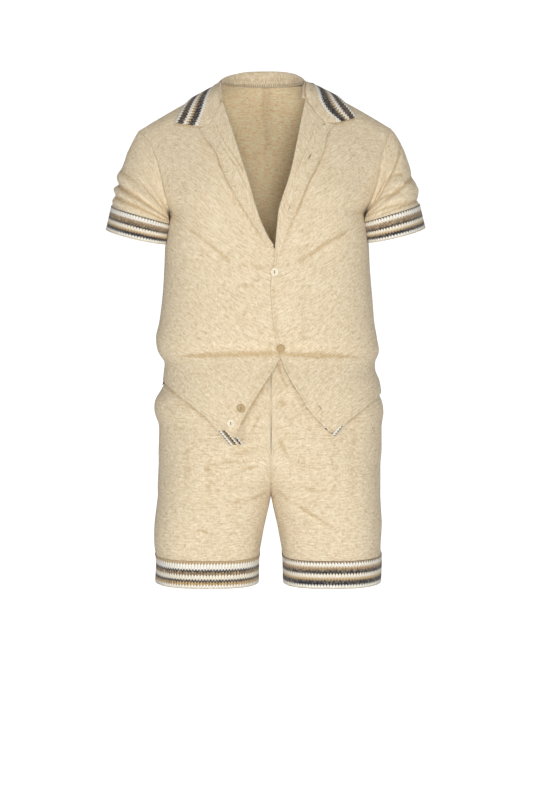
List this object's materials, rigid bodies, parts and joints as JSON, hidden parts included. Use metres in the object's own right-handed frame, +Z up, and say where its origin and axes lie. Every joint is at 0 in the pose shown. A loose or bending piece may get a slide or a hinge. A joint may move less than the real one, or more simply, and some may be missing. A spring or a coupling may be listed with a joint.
{
  "type": "shirt and shorts set",
  "caption": "Open-neck short-sleeved shirt with notched collar over matching loose shorts, in slubby cloth with striped tape on collar, cuffs and leg hems.",
  "frame": {"origin": "middle of the neck, level with the neck ends of the shoulder seams, where the wearer's shoulders hold the shirt up", "axes": "+Z up, the garment faces -Y, +X towards the wearer's left"},
  "size_m": [0.5717, 0.2652, 0.9234],
  "materials": {
    "oatmeal_cloth": "matte slubby plain weave",
    "striped_tape": "matte striped woven tape",
    "horn_button": "satin, mottled like horn"
  },
  "bodies": {
    "root": {"shirt_front_right": "oatmeal_cloth", "shirt_front_left": "oatmeal_cloth", "shirt_back": "oatmeal_cloth", "lapel_right": "oatmeal_cloth", "lapel_left": "oatmeal_cloth", "collar": "oatmeal_cloth", "collar_tape": "striped_tape", "sleeve_right": "oatmeal_cloth", "sleeve_left": "oatmeal_cloth", "cuff_tape_right": "striped_tape", "cuff_tape_left": "striped_tape", "hem_turn_right": "oatmeal_cloth", "hem_turn_left": "oatmeal_cloth", "hem_tape_right": "striped_tape", "hem_tape_left": "striped_tape", "shorts_front_right": "oatmeal_cloth", "shorts_front_left": "oatmeal_cloth", "shorts_back_right": "oatmeal_cloth", "shorts_back_left": "oatmeal_cloth", "waistband": "oatmeal_cloth", "leg_tape_right": "striped_tape", "leg_tape_left": "striped_tape", "button_top": "horn_button", "button_waist": "horn_button", "button_low": "horn_button", "button_hem": "horn_button"}
  },
  "joints": []
}
